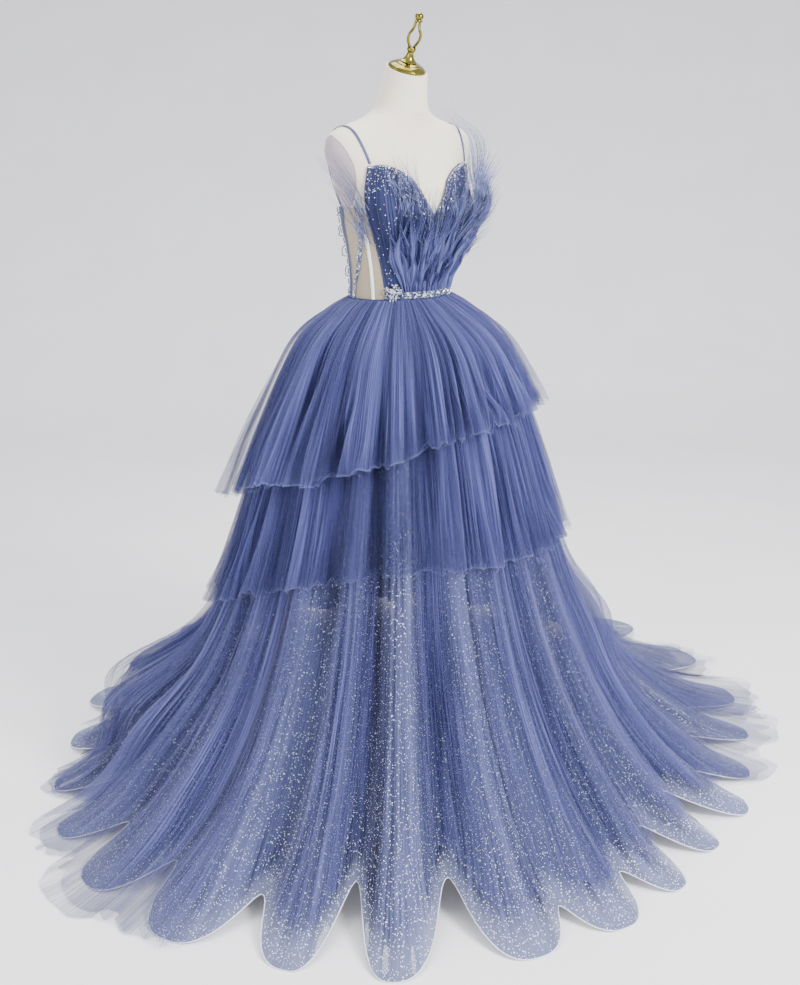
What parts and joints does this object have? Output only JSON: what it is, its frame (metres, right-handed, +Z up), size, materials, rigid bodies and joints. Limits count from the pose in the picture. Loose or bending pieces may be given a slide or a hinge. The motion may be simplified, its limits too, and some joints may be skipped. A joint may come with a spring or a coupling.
{
  "type": "ballroom gown on a dress form",
  "caption": "Floor-length tiered tulle ballroom gown with a train, sweetheart bodice, jewelled belt and wavy braid-edged hem, on a limbless dress form with a metal finial.",
  "frame": {"origin": "centre of the underside of the stand's round base, on the floor", "axes": "+Z up; the gown's front faces -Y; +X is the side of the wearer's left arm"},
  "size_m": [1.9472, 1.8458, 1.7122],
  "materials": {
    "form_cloth": "matte knit cover",
    "brass": "polished",
    "stand_paint": "satin",
    "blue_tulle": "soft net",
    "glitter_tulle": "net with silver glitter",
    "pleated_tulle": "pleated net with sequins",
    "nude_mesh": "sheer net",
    "blue_satin": "satin",
    "crystal": "cut stones in silver settings",
    "boning": "matte",
    "horsehair": "stiff sheer braid"
  },
  "bodies": {
    "root": {"form_torso": "form_cloth", "cap_dome": "brass", "finial_stem": "brass", "finial_knob": "brass", "finial_arm_right": "brass", "finial_arm_left": "brass", "stand_base": "stand_paint", "stand_pole": "stand_paint", "skirt_base_front": "glitter_tulle", "skirt_base_back": "glitter_tulle", "hem_braid": "horsehair", "tier_floor_front": "blue_tulle", "tier_floor_back": "blue_tulle", "tier_middle_front": "blue_tulle", "tier_middle_back": "blue_tulle", "tier_top_front": "blue_tulle", "tier_top_back": "blue_tulle", "bodice_front_right": "pleated_tulle", "side_mesh_right": "nude_mesh", "back_mesh_right": "nude_mesh", "back_binding_right": "blue_satin", "bead_seam_right": "crystal", "bone_right": "boning", "strap_right": "blue_satin", "lacing_right": "blue_satin", "fan_right": "blue_tulle", "spray_right": "blue_tulle", "bodice_front_left": "pleated_tulle", "side_mesh_left": "nude_mesh", "back_mesh_left": "nude_mesh", "back_binding_left": "blue_satin", "bead_seam_left": "crystal", "bone_left": "boning", "strap_left": "blue_satin", "lacing_left": "blue_satin", "fan_left": "blue_tulle", "spray_left": "blue_tulle", "belt_band": "crystal", "belt_motif": "crystal"}
  },
  "joints": []
}
